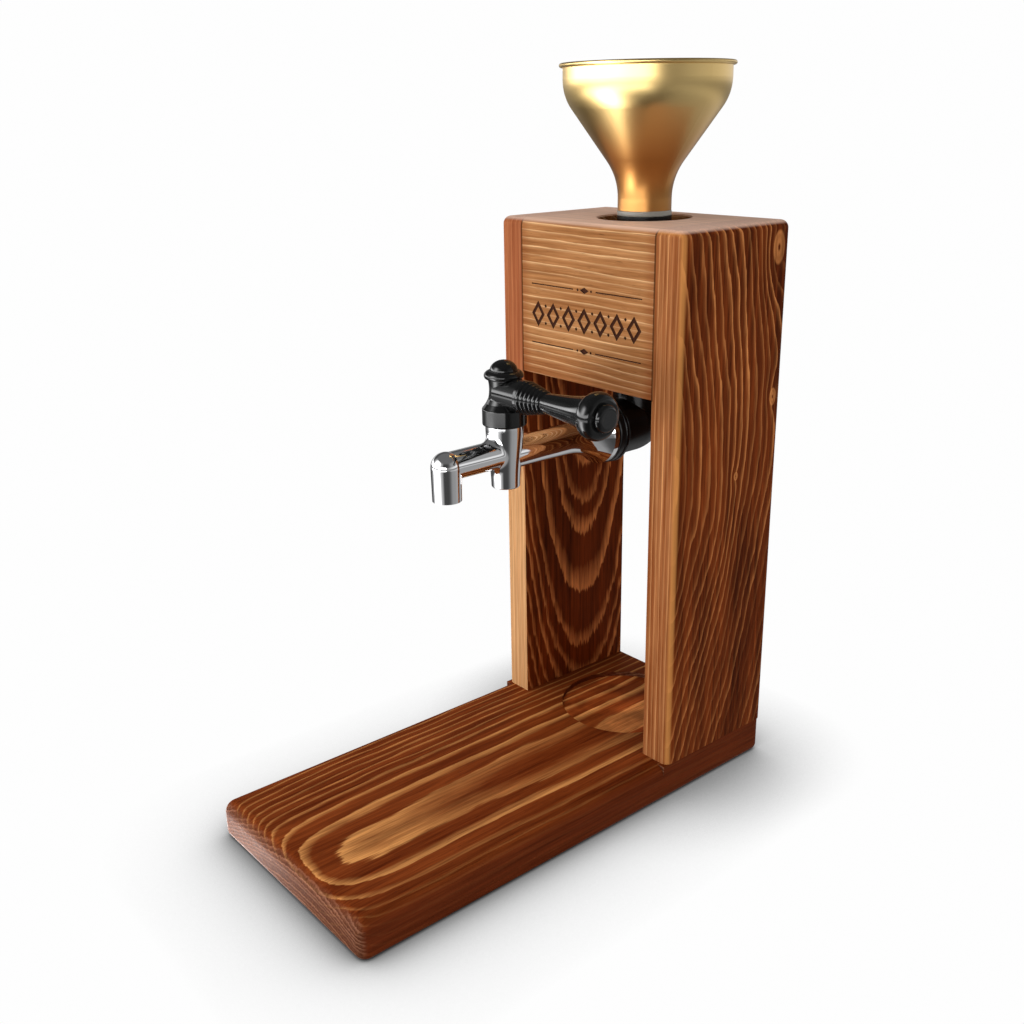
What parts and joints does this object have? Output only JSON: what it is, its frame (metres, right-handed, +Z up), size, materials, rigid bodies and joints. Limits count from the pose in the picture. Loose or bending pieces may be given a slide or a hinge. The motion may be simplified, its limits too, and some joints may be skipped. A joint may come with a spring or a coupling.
{
  "type": "drinks dispenser",
  "caption": "Wooden drinks dispenser on a stand, with a brass filling funnel on top, a lever tap on a black elbow between the side boards, and a round glass recess.",
  "frame": {"origin": "centre of the base board's underside", "axes": "+Z up, the tap faces -Y, the lever points to +X when the tap is shut"},
  "size_m": [0.1509, 0.3065, 0.4085],
  "materials": {
    "base_wood": "stained and varnished softwood, satin",
    "side_wood": "dark stained and varnished softwood, satin",
    "head_wood": "stained and varnished softwood, lighter, satin",
    "dowel_wood": "raw beech",
    "screw_steel": "zinc plated",
    "black_plastic": "semi-gloss",
    "clear_silicone": "translucent, matt",
    "insert_brass": "machined",
    "tap_chrome": "polished",
    "black_rubber": "satin",
    "white_plastic": "moulded",
    "black_gloss": "polished",
    "plug_plastic": "moulded acetal",
    "funnel_brass": "polished and lacquered"
  },
  "bodies": {
    "stand": {"base_board": "base_wood", "left_side_board": "side_wood", "right_side_board": "side_wood", "head_block": "head_wood", "head_dowels": "dowel_wood", "base_screws": "screw_steel", "reservoir_bottle": "black_plastic", "neck_seal": "clear_silicone", "outlet_elbow": "black_plastic", "elbow_insert": "insert_brass", "tap_body": "tap_chrome", "tap_washer": "black_rubber", "thrust_washer": "white_plastic", "gland_nut": "insert_brass"},
    "handle": {"tap_lever": "black_gloss", "lever_knob": "black_gloss", "handle_screw": "screw_steel", "handle_cap": "black_gloss", "valve_plug": "plug_plastic", "plug_o_rings": "black_rubber"},
    "funnel_body": {"funnel": "funnel_brass"}
  },
  "joints": [
    {"name": "tap_turn", "type": "hinge", "parent": "stand", "child": "handle", "pos_m": [0, 0.0039, 0.2432], "axis": [0, 0, 1], "range_deg": [-90, 0]},
    {"name": "funnel_lift", "type": "slide", "parent": "stand", "child": "funnel_body", "axis": [0, 0, 1], "range_m": [0, 0.04]}
  ]
}
